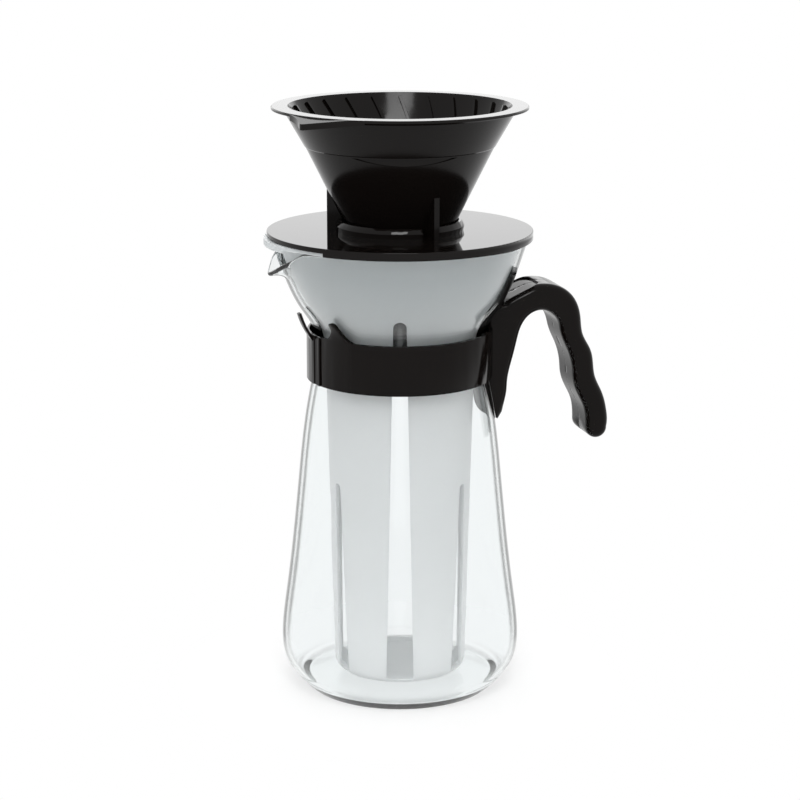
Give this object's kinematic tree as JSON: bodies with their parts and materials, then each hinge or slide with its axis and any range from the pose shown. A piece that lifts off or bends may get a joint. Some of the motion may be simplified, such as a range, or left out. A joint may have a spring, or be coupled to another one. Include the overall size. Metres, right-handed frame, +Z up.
{
  "type": "pour-over iced coffee maker",
  "caption": "Glass jug with a clasped neck band and hollow handle, a hanging slotted ice strainer, a drip plate and a ribbed dripper cone, for coffee brewed over ice.",
  "frame": {"origin": "centre of the jug's flat foot, on the surface that it stands on", "axes": "+Z up, +X towards the handle, -X towards the pouring lip"},
  "size_m": [0.1592, 0.12, 0.2693],
  "materials": {
    "clear_glass": "clear, polished",
    "frosted_plastic": "translucent, frosted",
    "gloss_black_plastic": "glossy",
    "satin_black_plastic": "satin",
    "steel": "plain"
  },
  "bodies": {
    "jug": {"jug_glass": "clear_glass", "neck_band": "satin_black_plastic", "clasp_pin": "steel", "handle_shell_near": "satin_black_plastic", "handle_shell_far": "satin_black_plastic", "handle_screws": "steel"},
    "clasp": {"clasp_latch": "satin_black_plastic"},
    "strainer": {"ice_strainer": "frosted_plastic"},
    "plate": {"drip_plate": "gloss_black_plastic"},
    "dripper": {"dripper_cone": "gloss_black_plastic"}
  },
  "joints": [
    {"name": "clasp_hinge", "type": "hinge", "parent": "jug", "child": "clasp", "pos_m": [-0.03441, 0.02409, 0.1572], "axis": [0, 0, -1], "range_deg": [0, 100]},
    {"name": "strainer_lift", "type": "slide", "parent": "jug", "child": "strainer", "axis": [0, 0, 1], "range_m": [0, 0.21]},
    {"name": "plate_lift", "type": "slide", "parent": "strainer", "child": "plate", "axis": [0, 0, 1], "range_m": [0, 0.06]},
    {"name": "dripper_lift", "type": "slide", "parent": "plate", "child": "dripper", "axis": [0, 0, 1], "range_m": [0, 0.06]}
  ]
}
